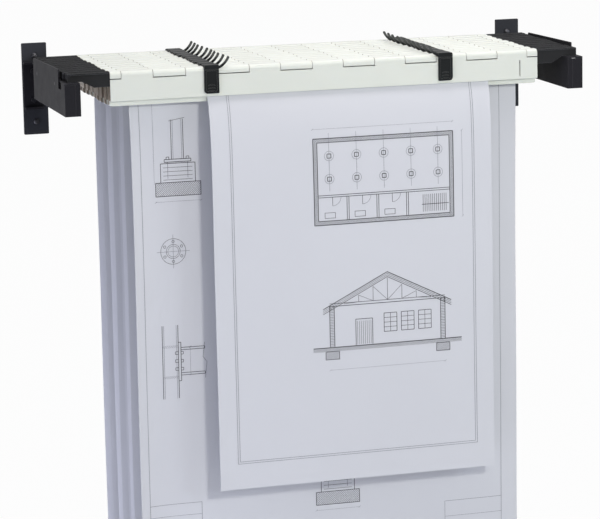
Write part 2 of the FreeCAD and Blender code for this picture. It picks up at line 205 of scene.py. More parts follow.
class Value:
    """A number that changes over a surface. Arithmetic on it adds Math nodes."""

    def __init__(self, nodes, socket):
        self.nodes = nodes
        self.socket = socket

    def maths(self, operation, first, second=0.0):
        return self.nodes.node("Math", {"operation": operation}, {0: first, 1: second})

    def __add__(self, other):
        return self.maths("ADD", self, other)

    def __rsub__(self, other):
        return self.maths("SUBTRACT", other, self)

    def __mul__(self, other):
        return self.maths("MULTIPLY", self, other)

    def __gt__(self, other):
        return self.maths("GREATER_THAN", self, other)

    def size(self):
        return self.maths("ABSOLUTE", self)

    def larger(self, other):
        return self.maths("MAXIMUM", self, other)


class Nodes:
    """The node tree of a material or of the room."""

    def __init__(self, tree):
        self.tree = tree

    def fill(self, socket, value):
        if isinstance(value, Value):
            self.tree.links.new(value.socket, socket)
        else:
            socket.default_value = value

    def node(self, kind, settings, values, output=0):
        """A node of that kind; settings first, then the values or links of its sockets."""
        made = self.tree.nodes.new("ShaderNode" + kind)
        for name, value in settings.items():
            setattr(made, name, value)
        for key, value in values.items():
            self.fill(made.inputs[key], value)
        return Value(self, made.outputs[output])

    def part_of(self, vector, axis):
        return self.node("SeparateXYZ", {}, {0: vector}, axis)

    def mixed(self, share, first, second):
        return self.node("Mix", {"data_type": "RGBA"}, {0: share, 6: first, 7: second}, 2)

    def ramp(self, value, low, high):
        """0 where the value is below low, 1 above high, and even between them."""
        return self.node("MapRange", {}, {"Value": value, "From Min": low, "From Max": high})

    def seen_white(self, behind):
        """1 for what the camera sees, and behind for what a gloss or a glass shows of it."""
        ray = {name: self.node("LightPath", {}, {}, "Is %s Ray" % name)
               for name in ("Camera", "Glossy", "Transmission")}
        return ray["Camera"].larger(ray["Glossy"].larger(ray["Transmission"]) * behind)


class Finish(Nodes):
    """A material with one Principled shader, whose plain numbers come as settings."""

    def __init__(self, name, **constants):
        self.material = bpy.data.materials.new(name)
        self.material.use_nodes = True
        super().__init__(self.material.node_tree)
        self.shader = self.tree.nodes["Principled BSDF"]
        for socket, value in constants.items():
            self.shader.inputs[socket.replace("_", " ")].default_value = value

    def place(self):
        """Where a point is on its piece, in metres."""
        return self.node("TexCoord", {}, {}, "Object")

    def stretched(self, scale):
        return self.node("Mapping", {}, {"Vector": self.place(), "Scale": scale})

    def grain(self, cells, detail=2.0, where=None):
        """Noise from 0 to 1 with that many cells in a metre."""
        where = self.place() if where is None else where
        return self.node("TexNoise", {}, {"Vector": where, "Scale": cells, "Detail": detail})

    def normal(self):
        return self.node("NewGeometry", {}, {}, "True Normal")

    def facing(self, axis):
        """How squarely a surface faces along an axis, either way."""
        return self.part_of(self.normal(), axis).size()

    def rounded(self, radius, samples):
        """The normal of a surface whose edges are rounded to that radius."""
        return self.node("Bevel", {"samples": samples}, {"Radius": radius})

    def edge_wear_and_highlight(self, radius):
        """1 along the outer edges: rubbed by handling, and painted highlight where they catch the
        light.
        """
        normals = {0: self.rounded(radius, FOUND_EDGE_SAMPLES), 1: self.normal()}
        agreement = self.node("VectorMath", {"operation": "DOT_PRODUCT"}, normals, "Value")
        return self.ramp((1.0 - agreement) * EDGE_STRENGTH, 0.0, 1.0)

    def tones(self, share, colour, dark, light):
        """The colour, from its darkest to its lightest tone."""
        return self.mixed(share, shade(colour, dark), shade(colour, light))

    def feed(self, socket, value):
        self.fill(self.shader.inputs[socket], value)

    def feed_roughness(self, share, low, high):
        self.feed("Roughness", share * (high - low) + low)

    def emboss(self, height, depth, edge=0.0):
        """Fine relief of that depth, on edges that are rounded by edge."""
        values = {"Height": height, "Distance": depth, "Strength": 1.0}
        if edge > 0:
            values["Normal"] = self.rounded(edge, SOFT_EDGE_SAMPLES)
        self.feed("Normal", self.node("Bump", {}, values))


def shade(colour, factor=1.0):
    return tuple(channel * factor for channel in colour) + (1.0,)


def painted_steel(name, colour, wear_and_highlight, roughness):
    """Satin powder coat: faint orange peel, dust patches, edges lightened by wear and painted
    highlight.
    """
    finish = Finish(name, IOR=1.5, Specular_IOR_Level=0.10)
    patches = finish.grain(cells=14.0, detail=4.0)
    coat = finish.tones(patches, colour, dark=0.8, light=1.25)
    # Lighter edges: partly rubbed wear, partly painted highlight where edges catch the light
    edge = finish.edge_wear_and_highlight(1.1 * MM)
    finish.feed("Base Color", finish.mixed(edge, coat, shade(wear_and_highlight)))
    finish.feed_roughness(finish.grain(cells=60.0, detail=3.0), roughness - 0.08, roughness + 0.08)
    finish.emboss(finish.grain(cells=900.0), depth=0.05 * MM, edge=0.6 * MM)
    return finish.material


def moulded_black(name, colour, wear_and_highlight, roughness, sheen, cells, lightened_from=None):
    """Black moulded plastic with a fine spark-eroded grain, lighter along its edges and above
    a given height: in both, partly wear and partly painted highlight."""
    finish = Finish(name, IOR=1.48, Specular_IOR_Level=sheen)
    patches = finish.grain(cells=30.0, detail=3.0)
    body = finish.tones(patches, colour, dark=0.8, light=1.25)
    if lightened_from is not None:
        height = finish.part_of(finish.place(), "Z")
        # Lighter above that height: finger wear and painted highlight on the horns
        horn_wear_and_highlight = finish.ramp(height, lightened_from, lightened_from + LIGHTENING_FADE) * LIGHTENING_SHARE
        body = finish.mixed(horn_wear_and_highlight, body, shade(wear_and_highlight))
    # Lighter edges: partly rubbed wear, partly painted highlight where edges catch the light
    edge = finish.edge_wear_and_highlight(1.0 * MM)
    finish.feed("Base Color", finish.mixed(edge, body, shade(wear_and_highlight)))
    finish.feed_roughness(finish.grain(cells=120.0), roughness - 0.07, roughness + 0.07)
    finish.emboss(finish.grain(cells), depth=0.04 * MM, edge=0.5 * MM)
    return finish.material


def ivory_plastic(name, end_shade):
    """Extruded ivory jaws that light soaks into a little: faint draw lines along the length,
    cut ends in a warm beige that is partly their raw tone and partly painted shade, and painted
    brown shade that runs in from the ends of the front and back faces, for the shadow in the
    gaps between binders."""
    finish = Finish(name, IOR=1.49, Coat_Roughness=0.25, Subsurface_Weight=0.2,
                    Subsurface_Radius=(1.0, 0.9, 0.75), Subsurface_Scale=3.0 * MM)
    ivory = (0.750, 0.782, 0.700)
    cut_end_and_shade = (0.33, 0.262, 0.188)
    shade_brown = (0.15, 0.105, 0.07)
    lengthwise = finish.stretched((3.0, 700.0, 700.0))
    draw_lines = finish.grain(cells=1.0, detail=3.0, where=lengthwise)
    clouds = finish.grain(cells=9.0, detail=3.0)
    tone = finish.tones(clouds, ivory, dark=0.965, light=1.02)
    tone = finish.mixed(draw_lines * 0.25, tone, shade(ivory, 0.94))
    from_middle = finish.part_of(finish.place(), "X").size()
    on_face = finish.facing("Y") > 0.7
    # Painted shade: the front and back faces darken to brown towards the ends, where the gaps
    # between binders lie in shadow
    end_shaded = finish.ramp(from_middle, *END_SHADE_SPAN) * on_face * end_shade
    tone = finish.mixed(end_shaded, tone, shade(shade_brown))
    # End faces in a darker warm beige: partly the raw cut ends' own tone, partly painted shade
    on_end = finish.facing("X") > 0.9
    finish.feed("Base Color", finish.mixed(on_end, tone, shade(cut_end_and_shade)))
    finish.feed("Roughness", draw_lines * 0.10 + clouds * 0.08 + 0.27)
    finish.feed("Coat Weight", clouds * 0.12 + 0.04)
    finish.emboss(draw_lines, depth=0.02 * MM, edge=0.3 * MM)
    return finish.material


def drawn_wire():
    """Bright steel rod with streaks along its length from the drawing die."""
    finish = Finish("drawn_wire", Metallic=1.0)
    steel = (0.62, 0.62, 0.62)
    lengthwise = finish.stretched((40.0, 3000.0, 3000.0))
    streaks = finish.grain(cells=1.0, where=lengthwise)
    finish.feed("Base Color", finish.tones(streaks, steel, dark=0.85, light=1.1))
    finish.feed_roughness(streaks, 0.22, 0.40)
    finish.emboss(streaks, depth=0.01 * MM)
    return finish.material


def blackened_screw():
    """Blackened steel on a pressed screw head: cloudy, with fine pits."""
    finish = Finish("blackened_screw", Metallic=1.0)
    steel = (0.092, 0.092, 0.098)
    clouds = finish.grain(cells=350.0, detail=3.0)
    finish.feed("Base Color", finish.tones(clouds, steel, dark=0.7, light=1.2))
    finish.feed_roughness(clouds, 0.34, 0.54)
    finish.emboss(finish.grain(cells=2500.0), depth=0.02 * MM, edge=0.2 * MM)
    return finish.material


def drawing_paper():
    """Matt plotter paper, cool white, with cloudy fibre and a slight tooth."""
    finish = Finish("drawing_paper", IOR=1.4, Specular_IOR_Level=0.3)
    paper = (0.670, 0.685, 0.708)
    fibre = finish.grain(cells=1600.0, detail=3.0)
    clouds = finish.grain(cells=7.0, detail=4.0)
    tone = finish.tones(clouds, paper, dark=0.975, light=1.02)
    finish.feed("Base Color", finish.mixed(fibre * 0.3, tone, shade(paper, 0.96)))
    finish.feed_roughness(fibre, 0.72, 0.84)
    finish.emboss(fibre, depth=0.02 * MM)
    return finish.material


def plotter_ink(name, colour):
    """Ink that lies thicker in some places than in others."""
    finish = Finish(name, IOR=1.45)
    flow = finish.grain(cells=500.0)
    finish.feed("Base Color", finish.tones(flow, colour, dark=0.8, light=1.25))
    finish.feed_roughness(flow, 0.5, 0.7)
    return finish.material


# The finish of each material slot, and the finishes that have no slot of their own
# The lighter edge colours below are partly wear and partly painted highlight
FINISHES = {
    "bracket_black": painted_steel("bracket_coat", colour=(0.0160, 0.0157, 0.0185),
                                   wear_and_highlight=(0.075, 0.075, 0.08), roughness=0.60),
    "fastener_black": painted_steel("screw_black", colour=(0.020, 0.020, 0.023),
                                    wear_and_highlight=(0.06, 0.06, 0.06), roughness=0.40),
    "jaw_ivory": ivory_plastic("ivory_plastic", end_shade=0.0),
    "pin_steel": drawn_wire(),
    "hanger_black": moulded_black("hanger_moulding", colour=(0.029, 0.0295, 0.030),
                                  wear_and_highlight=(0.16, 0.165, 0.17), roughness=0.66, sheen=0.01,
                                  cells=1800.0),
    "clip_black": moulded_black("clip_moulding", colour=(0.0175, 0.0192, 0.0192),
                                wear_and_highlight=(0.125, 0.13, 0.122), roughness=0.40, sheen=0.045,
                                cells=2600.0, lightened_from=CLIP_TOP),
    "sheet_paper": drawing_paper(),
}
# Jaws with painted shade towards their ends
END_SHADED_IVORY = ivory_plastic("ivory_plastic_end_shade", end_shade=0.9)
# A lighter copy of the coat for the wall plates: painted light, for the light and reflection they
# catch
PLATE_LIT_COAT = painted_steel("bracket_coat_painted_light", colour=(0.034, 0.036, 0.041),
                           wear_and_highlight=(0.085, 0.085, 0.09), roughness=0.56)
SCREW_FINISH = blackened_screw()
INKS = {
    "heavy": plotter_ink("ink_heavy", (0.03, 0.03, 0.036)),
    "fine": plotter_ink("ink_fine", (0.17, 0.18, 0.21)),
}


def finish_of(part):
    """The finish of a part's slot, but with painted shade at the ends of the rear jaws and a
    lighter, painted-light coat on the wall plates.
    """
    if part["node"].endswith("_jaws"):
        return END_SHADED_IVORY
    # Wall plates take the lighter coat with painted light
    if part["node"].endswith("_wall_plate"):
        return PLATE_LIT_COAT
    return FINISHES[part["material_slot"]]


def coat_cad_nodes():
    for part in frame["record"]["subparts"]:
        materials = frame["nodes"][part["node"]].data.materials
        materials.clear()
        materials.append(finish_of(part))


# Making pieces

def new_object(name, shape, finish):
    """An object of the scene, from a bmesh, in one finish."""
    mesh = bpy.data.meshes.new(name)
    shape.to_mesh(mesh)
    shape.free()
    mesh.materials.append(finish)
    made = bpy.data.objects.new(name, mesh)
    bpy.context.scene.collection.objects.link(made)
    return made


def new_piece(name, shape, body, finish):
    """A smooth piece that rides on a body, in one finish."""
    piece = new_object(name, shape, finish)
    polygons = piece.data.polygons
    polygons.foreach_set("use_smooth", [True] * len(polygons))
    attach(piece, body)
    return piece


class Hang:
    """How one sheet hangs: all lengths in metres, angles in degrees.

    push is how far it swells out in front of the jaws at its left and right side, drift
    how much more at the foot, curl the turn-up of the foot, tilt its lean, margins how
    far its left and right margin bend forward, and waver how far its sides waver."""

    def __init__(self, push, drift, curl, tilt, margins, waver):
        self.push = push
        self.drift = drift
        self.curl = curl
        self.tilt = math.radians(tilt)
        self.margins = [math.radians(angle) for angle in margins]
        self.waver = waver


def free_length(down):
    """How much of a sheet hangs free between the jaws and a point that far down."""
    return max(0.0, down - HELD_LENGTH)


class Leaf:
    """One sheet that hangs from the jaws of a binder.

    Its points are given as across, from the middle towards +X, and down, from the
    top edge, both in metres on the flat sheet."""

    def __init__(self, low, high, face, hang):
        self.width = high.x - low.x
        self.length = high.z - low.z
        self.middle = (low.x + high.x) / 2.0
        self.top = high.z
        self.face = face
        self.hang = hang

    def forward(self, across, down):
        """How far the sheet stands out in front of the jaws at a point."""
        hang = self.hang
        free = free_length(down)
        share = free / (self.length - HELD_LENGTH)
        side = 2.0 * across / self.width
        push = hang.push[0] + (hang.push[1] - hang.push[0]) * (side + 1.0) / 2.0
        out = push * (1.0 - math.exp(-free / BULGE_LENGTH)) + hang.drift * share ** 2
        out += hang.curl * (max(0.0, share - FOOT_CURL_START) / (1.0 - FOOT_CURL_START)) ** 2
        out += SAG * math.cos(math.pi * side) * math.sin(math.pi * share)
        return out + hang.waver * self.waves(side, share)

    def waves(self, side, share):
        """The waver, from -1 to 1. There is none at the jaws and down the middle."""
        turns = WAVES_DOWN * share + WAVES_SLANT * side
        wave = math.sin(2.0 * math.pi * turns + WAVES_SHIFT * self.middle)
        return wave * side ** 4 * min(1.0, WAVES_GROWTH * share)

    def taken_up(self, down):
        """How much of the length the swelling below the jaws has used."""
        push = sum(self.hang.push) / 2.0
        grown = 1.0 - math.exp(-2.0 * free_length(down) / BULGE_LENGTH)
        return push ** 2 / (4.0 * BULGE_LENGTH) * grown

    def bent(self, across, down):
        """Where a point of a margin that bends forward comes to: across, and forward."""
        inner = self.width / 2.0 - MARGIN_WIDTH
        beyond = abs(across) - inner
        angle = self.hang.margins[0 if across < 0 else 1]
        angle *= 1.0 - math.exp(-free_length(down) / MARGIN_FREE)
        if beyond <= 0 or abs(angle) < NO_BEND:
            return across, 0.0
        radius = MARGIN_WIDTH / angle
        turned = beyond / radius
        out = radius * (1.0 - math.cos(turned))
        return math.copysign(inner + radius * math.sin(turned), across), out

    def point(self, across, down, lift=0.0):
        """Where a point of the flat sheet comes to, raised off the face by lift."""
        tilt = self.hang.tilt
        out = self.forward(across, down) + lift
        across, curled = self.bent(across, down)
        down -= self.taken_up(down)
        turned = across * math.cos(tilt) + down * math.sin(tilt)
        lower = down * math.cos(tilt) - across * math.sin(tilt)
        return Vector((self.middle + turned, self.face - out - curled, self.top - lower))


def leaf_mesh(leaf):
    """The sheet's face, in rows and columns that are closer together where it bends."""
    shape = bmesh.new()
    rows = []
    for row in range(LEAF_ROWS + 1):
        down = leaf.length * (row / LEAF_ROWS) ** ROW_SPREAD
        line = []
        for column in range(LEAF_COLUMNS + 1):
            across = leaf.width / 2.0 * math.sin(math.pi * (column / LEAF_COLUMNS - 0.5))
            line.append(shape.verts.new(leaf.point(across, down)))
        rows.append(line)
    for upper, lower in zip(rows, rows[1:]):
        for column in range(LEAF_COLUMNS):
            corners = (upper[column], lower[column], lower[column + 1], upper[column + 1])
            shape.faces.new(corners)
    for edge in shape.edges:
        edge.smooth = not edge.is_boundary
    return shape


def hang_leaf(name, leaf, body):
    piece = new_piece(name, leaf_mesh(leaf), body, FINISHES["sheet_paper"])
    thickness = piece.modifiers.new("thickness", "SOLIDIFY")
    thickness.thickness = LEAF_THICKNESS
    thickness.offset = -1.0
    return piece


# Drawing

def about(middle, half):
    """The two ends of a stretch, from its middle and half its length."""
    return middle - half, middle + half


def places(first, last, pitch):
    """Places at one pitch, from first on and not past last."""
    count = int((last - first) / pitch + SPARE_PITCH)
    return [first + index * pitch for index in range(count + 1)]


class Plan:
    """Line work on one leaf. Its own places are millimetres from the sheet's middle
    towards +X and from its top edge downwards. width is a stroke's own width, also in
    millimetres, and weight is the name of its ink."""

    def __init__(self, leaf):
        self.leaf = leaf
        self.half = leaf.width / MM / 2.0
        self.length = leaf.length / MM
        self.shapes = {weight: bmesh.new() for weight in INKS}

    def spot(self, place):
        return self.leaf.point(place[0] * MM, place[1] * MM, LINE_LIFT)

    def line(self, start, end, width, weight="heavy"):
        """A stroke, cut into short steps so that it follows the paper."""
        shape = self.shapes[weight]
        start, end = Vector(start), Vector(end)
        run = end - start
        count = max(1, math.ceil(run.length / STROKE_STEP))
        side = Vector((-run.y, run.x)).normalized() * width / 2.0
        before = None
        for index in range(count + 1):
            middle = start + run * index / count
            pair = [shape.verts.new(self.spot(edge)) for edge in (middle + side, middle - side)]
            if before:
                shape.faces.new((before[0], before[1], pair[1], pair[0]))
            before = pair

    def path(self, stops, width, weight="heavy"):
        for start, end in zip(stops, stops[1:]):
            self.line(start, end, width, weight)

    def frame(self, x0, x1, y0, y1, width, weight="heavy"):
        self.path([(x0, y0), (x1, y0), (x1, y1), (x0, y1), (x0, y0)], width, weight)

    def arc(self, centre, radius, first, last, width, weight="heavy"):
        steps = max(FEWEST_ARC_STEPS, int(abs(last - first) / ARC_STEP))
        stops = []
        for index in range(steps + 1):
            angle = math.radians(first + (last - first) * index / steps)
            across, down = radius * math.cos(angle), radius * math.sin(angle)
            stops.append((centre[0] + across, centre[1] + down))
        self.path(stops, width, weight)

    def ring(self, centre, radius, width, weight="heavy"):
        self.arc(centre, radius, 0.0, 360.0, width, weight)

    def hatch(self, x0, x1, y0, y1, pitch, width, weight="heavy"):
        """Slanted hatching, clipped to a box, without the tiny strokes in its corners."""
        reach = (x1 - x0) + (y1 - y0)
        for index in range(1, int(reach / pitch) + 1):
            run = index * pitch
            start = (x0 + min(run, x1 - x0), y0 + max(0.0, run - (x1 - x0)))
            end = (x0 + max(0.0, run - (y1 - y0)), y0 + min(run, y1 - y0))
            if math.dist(start, end) > pitch / 4.0:
                self.line(start, end, width, weight)

    def rows(self, x0, x1, y0, y1, pitch, width, weight="heavy"):
        """Level lines at one pitch between y0 and y1."""
        for y in places(y0, y1, pitch):
            self.line((x0, y), (x1, y), width, weight)

    def columns(self, x0, x1, y0, y1, pitch, width, weight="heavy"):
        """Upright lines at one pitch between x0 and x1."""
        for x in places(x0, x1, pitch):
            self.line((x, y0), (x, y1), width, weight)

    def measure(self, start, end):
        """A dimension line with slanted ticks at its ends."""
        self.line(start, end, 0.3, "fine")
        for x, y in (start, end):
            left, right = about(x, TICK / 2.0)
            upper, lower = about(y, TICK / 2.0)
            self.line((left, lower), (right, upper), 0.4, "fine")

    def finish(self, name, body):
        """Makes a piece of the strokes in each ink."""
        for weight, shape in self.shapes.items():
            new_piece(name + "_" + weight, shape, body, INKS[weight])


# What is drawn on the sheets: a made-up hall and a few stock details of building

def draw_hall_plan(plan, x, y):
    """Ground plan of a long hall with rooms down one side, its corner at x, y."""
    right, foot, rooms = x + HALL_WIDTH, y + HALL_DEPTH, y + ROOMS_DOWN
    clear = 14.0
    draw_outer_walls(plan, x, right, y, foot)
    draw_rooms(plan, x, right - HALL_WALL, rooms, foot - HALL_WALL)
    draw_hall_columns(plan, x + 24.0, y + 26.0, y - 8.0, rooms - 6.0)
    draw_stairs(plan, x + 168.0, rooms + 8.0, foot - 10.0)
    plan.measure((x, y - clear), (right, y - clear))
    plan.measure((right + clear, y), (right + clear, foot))


def draw_outer_walls(plan, x0, x1, y0, y1):
    """Four walls, hatched all round."""
    inner_x0, inner_x1 = x0 + HALL_WALL, x1 - HALL_WALL
    inner_y0, inner_y1 = y0 + HALL_WALL, y1 - HALL_WALL
    plan.frame(x0, x1, y0, y1, 1.1)
    plan.frame(inner_x0, inner_x1, inner_y0, inner_y1, 0.9)
    for wall in ((x0, x1, y0, inner_y0), (x0, x1, inner_y1, y1),
                 (x0, inner_x0, inner_y0, inner_y1), (inner_x1, x1, inner_y0, inner_y1)):
        plan.hatch(*wall, pitch=2.6, width=0.55)


def draw_rooms(plan, x, right, top, foot):
    """A long partition, and behind it cross walls with a door and a cupboard at each."""
    inside = top + PARTITION
    for level in (top, inside):
        plan.line((x + HALL_WALL, level), (right, level), 0.8)
    for offset in PARTITIONS_ACROSS:
        cross_wall = x + offset
        hinge = cross_wall - 22.0
        for face in (cross_wall, cross_wall + PARTITION):
            plan.line((face, inside), (face, foot), 0.8)
        plan.arc((hinge, inside), DOOR_WIDTH, 0.0, 90.0, 0.5, "fine")
        plan.line((hinge, inside), (hinge, inside + DOOR_WIDTH), 0.6)
        plan.frame(cross_wall - 34.0, cross_wall - 18.0, foot - 12.0, foot - 4.0, 0.6)


def draw_hall_columns(plan, x, y, grid_top, grid_foot):
    """Two rows of five ringed columns, the first at x, y, and the grid lines through them."""
    for column in range(5):
        across = x + column * 42.0
        for row in range(2):
            down = y + row * 34.0
            plan.frame(*about(across, 3.0), *about(down, 3.0), 1.0)
            plan.ring((across, down), 7.0, 0.45, "fine")
        plan.line((across, grid_top), (across, grid_foot), 0.4, "fine")


def draw_stairs(plan, x, top, foot):
    """A flight of twelve steps from x on, with its walking line."""
    length, tread, walking_line = 36.0, 3.0, foot - 11.0
    plan.columns(x, x + length, top, foot, pitch=tread, width=0.6)
    plan.line((x - 2.0, walking_line), (x + length + 4.0, walking_line), 0.8)


def draw_hall_section(plan, x, y):
    """Cross section of the hall, its ridge at y: ground, walls on footings, a trussed
    roof, a gate and windows."""
    right, eaves = x + SECTION_WIDTH, y + ROOF_RISE
    ground = eaves + WALL_HEIGHT
    measured = ground + 34.0
    draw_ground(plan, x - GROUND_REACH, right + GROUND_REACH, ground)
    for wall in (x, right - SECTION_WALL):
        draw_wall_on_footing(plan, wall, eaves, ground)
    draw_roof(plan, x, right, y, eaves)
    draw_gate(plan, x + 40.0, ground)
    for window in range(3):
        draw_window(plan, x + 84.0 + window * 27.0, ground)
    plan.measure((x, measured), (right, measured))


def draw_ground(plan, x0, x1, level):
    plan.line((x0, level), (x1, level), 1.1)
    plan.hatch(x0, x1, level, level + SLAB_DEPTH, pitch=2.6, width=0.5)


def draw_wall_on_footing(plan, x, top, ground):
    """A wall in courses from x on, on a footing that is wider by a wall each side."""
    wall = (x, x + SECTION_WALL)
    footing = (x - SECTION_WALL, x + 2.0 * SECTION_WALL, ground + SLAB_DEPTH, ground + 18.0)
    plan.frame(*wall, top, ground, 0.9)
    plan.rows(*wall, top + 2.0, ground - 2.0, pitch=2.4, width=0.5)
    plan.frame(*footing, 0.8)
    plan.hatch(*footing, pitch=2.8, width=0.5)


def draw_roof(plan, x0, x1, ridge, eaves):
    """Skins over a truss, each post braced from its head to the next foot inwards."""
    overhang, chord = 10.0, 4.0
    middle, bay, half = (x0 + x1) / 2.0, (x1 - x0) / ROOF_BAYS, ROOF_BAYS // 2
    for drop, width in ROOF_SKINS:
        low = eaves + chord + drop
        plan.path([(x0 - overhang, low), (middle, ridge + drop), (x1 + overhang, low)], width)
    plan.line((x0, eaves), (x1, eaves), 0.9)
    plan.line((x0, eaves - chord), (x1, eaves - chord), 0.7)
    for number in range(1, ROOF_BAYS):
        post = x0 + bay * number
        height = ROOF_RISE * (1.0 - abs(number - half) / half)
        head, foot = eaves - height + 9.0, eaves - chord
        plan.line((post, foot), (post, head), 0.6)
        if number != half:
            inwards = bay if number < half else -bay
            plan.line((post, head), (post + inwards, foot), 0.5)


def draw_gate(plan, x, ground):
    """A boarded gate from x on."""
    right, top, board = x + 26.0, ground - 40.0, 3.0
    plan.frame(x, right, top, ground, 0.8)
    plan.columns(x + 2.5, right - 2.5, top + 3.0, ground - 2.0, pitch=board, width=0.45)


def draw_window(plan, x, ground):
    """A window of eight panes, from x on."""
    width, top, sill = 20.0, ground - 46.0, ground - 18.0
    middle = x + width / 2.0
    plan.frame(x, x + width, top, sill, 0.8)
    plan.rows(x, x + width, top + 7.0, sill - 6.0, pitch=7.0, width=0.6)
    plan.line((middle, top), (middle, sill), 0.6)


def draw_footing(plan, x, y):
    """A steel post about x, from y down to its base plate and stepped footing."""
    post, lining, plate, block, base = 9.0, 6.5, 20.0, 26.0, 34.0
    plate_top, plate_foot = y + 58.0, y + 62.0
    block_top, base_top, base_foot = y + 64.0, y + 92.0, y + 112.0
    measured = base_foot + 8.0
    for face in about(x, post):
        plan.line((face, y), (face, plate_top), 0.8)
    for inner_face in about(x, lining):
        plan.line((inner_face, y), (inner_face, plate_top), 0.45, "fine")
    plan.line((x - 12.0, y + 2.0), (x + 12.0, y - 2.0), 0.55)
    plan.frame(*about(x, plate), plate_top, plate_foot, 0.9)
    for bolt in about(x, 15.0):
        plan.frame(*about(bolt, 2.0), plate_top - 3.5, plate_top, 0.7)
        plan.line((bolt, plate_foot), (bolt, plate_foot + 24.0), 0.6, "fine")
    plan.frame(*about(x, block), block_top, base_top, 0.85)
    plan.frame(*about(x, base), base_top, base_foot, 0.85)
    plan.hatch(*about(x, base), base_top, base_foot, pitch=3.2, width=0.5)
    plan.rows(*about(x, 22.0), block_top + 6.0, base_top - 4.0, pitch=6.0, width=0.5)
    plan.measure((x - base, measured), (x + base, measured))


def draw_pipe_collar(plan, x, y):
    """A pipe through a flanged collar, end on, with its bolts and centre lines."""
    bolts, bolt_circle, reach = 6, 14.7, 25.0
    for radius, width in ((8.0, 0.4), (10.5, 0.5), (19.0, 0.55)):
        plan.ring((x, y), radius, width)
    for bolt in range(bolts):
        angle = math.radians(360.0 * (bolt + 0.5) / bolts)
        across, down = bolt_circle * math.cos(angle), bolt_circle * math.sin(angle)
        plan.ring((x + across, y + down), 1.8, 0.6)
    plan.line((x - reach, y), (x + reach, y), 0.45, "fine")
    plan.line((x, y - reach), (x, y + reach), 0.45, "fine")


def draw_beam_joint(plan, x, y):
    """A beam bolted to a column by an end plate, seen from the side."""
    left, right, foot, flange = x - 30.0, x - 6.0, y + 110.0, 3.5
    plate, torn = right + 4.0, x + 34.0
    beam_top, beam_foot = y + 34.0, y + 75.5
    for face in (left, right):
        plan.line((face, y), (face, foot), 0.85)
    for inner_face in (left + 2.5, right - 2.5):
        plan.line((inner_face, y), (inner_face, foot), 0.45, "fine")
    plan.frame(right, plate, y + 26.0, y + 84.0, 0.85)
    for level in (beam_top, beam_foot - flange):
        plan.frame(plate, torn, level, level + flange, 0.8)
    for bolt in (y + 42.0, y + 54.0, y + 66.0):
        plan.frame(right - 4.5, right, *about(bolt, 2.0), 0.7)
        plan.frame(plate, plate + 3.5, *about(bolt, 2.0), 0.7)
    torn_end = [(torn, y + 28.0), (torn - 3.0, y + 50.0), (torn + 3.0, y + 58.0), (torn, y + 82.0)]
    plan.path(torn_end, 0.55, "fine")
    for stiffener in (y + 30.0, y + 76.0):
        plan.hatch(left, right, stiffener, stiffener + 4.0, pitch=3.0, width=0.45, weight="fine")
    plan.measure((x + 12.0, beam_top), (x + 12.0, beam_foot))


def draw_list_box(plan, x0, x1, top, foot, head, pitch):
    """An empty box ruled for a list, with room for a heading."""
    plan.frame(x0, x1, top, foot, 0.5, "fine")
    plan.rows(x0, x1, top + head, foot - 10.0, pitch, width=0.4, weight="fine")


def draw_front_sheet(plan):
    """A double border around the hall's plan and section."""
    for inset in (0.0, 3.0):
        side, top, foot = plan.half - 28.0 - inset, 4.0 + inset, plan.length - 38.0 - inset
        plan.frame(-side, side, top, foot, 0.5, "fine")
    draw_hall_plan(plan, -62.0, 96.0)
    draw_hall_section(plan, -42.0, 300.0)


def draw_large_sheet(plan):
    """Border, a column of details down the left, one at the foot and two list boxes."""
    left, right, top, foot = 14.0 - plan.half, plan.half - 27.0, 4.0, plan.length - 15.0
    margin = left + 20.0
    plan.frame(left, right, top, foot, 0.5, "fine")
    plan.line((margin, top), (margin, 150.0), 0.3, "fine")
    draw_footing(plan, left + 56.0, 56.0)
    draw_pipe_collar(plan, left + 46.0, 250.0)
    draw_beam_joint(plan, left + 56.0, 360.0)
    draw_footing(plan, 8.0, 540.0)
    draw_list_box(plan, left, left + 80.0, 630.0, foot, head=18.0, pitch=16.0)
    draw_list_box(plan, right - 92.0, right, 664.0, foot, head=24.0, pitch=24.0)


# Wall screws

def put_wall_screws():
    """The four screws that hold the wall plates; their threads end at the wall face."""
    plate_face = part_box("left_wall_plate")[0].y
    mounts = {mount["name"]: mount["dims"] for mount in frame["record"]["mounts"]}
    across = mounts["wall_fixings"]["spacing_x_mm"] * MM / 2.0
    up = mounts["wall_fixings"]["spacing_y_mm"] * MM / 2.0
    for side, word in ((-1.0, "left"), (1.0, "right")):
        for level, height in ((1.0, "upper"), (-1.0, "lower")):
            shape = screw_shape(-plate_face)
            turn = Matrix.Rotation(math.radians(SCREW_TURN + SCREW_TURN_OFF * side * level), 4, "Y")
            place = Matrix.Translation((side * across, plate_face, level * up))
            shape.transform(place @ turn)
            name = "wall_screw_%s_%s" % (height, word)
            new_piece(name, shape, "brackets", SCREW_FINISH)


def screw_shape(shank):
    """A pan-head screw on the Y axis, its head in front of Y 0 and its shank behind."""
    shape = bmesh.new()
    crown = SCREW_HEAD_HEIGHT - SCREW_RIM_HEIGHT
    profile = [(SCREW_SHANK_RADIUS, shank), (SCREW_SHANK_RADIUS, 0.0), (SCREW_HEAD_RADIUS, 0.0)]
    for index in range(DOME_STEPS):
        angle = math.radians(90.0 * index / DOME_STEPS)
        radius = SCREW_HEAD_RADIUS * math.cos(angle)
        profile.append((radius, -SCREW_RIM_HEIGHT - crown * math.sin(angle)))
    rings = [ring_of(shape, radius, y) for radius, y in profile]
    for first, second in zip(rings, rings[1:]):
        for index in range(SCREW_SIDES):
            after = (index + 1) % SCREW_SIDES
            shape.faces.new((first[index], first[after], second[after], second[index]))
    shape.faces.new(rings[0])
    shape.faces.new(list(reversed(rings[-1])))
    bmesh.ops.recalc_face_normals(shape, faces=shape.faces[:])
    return shape


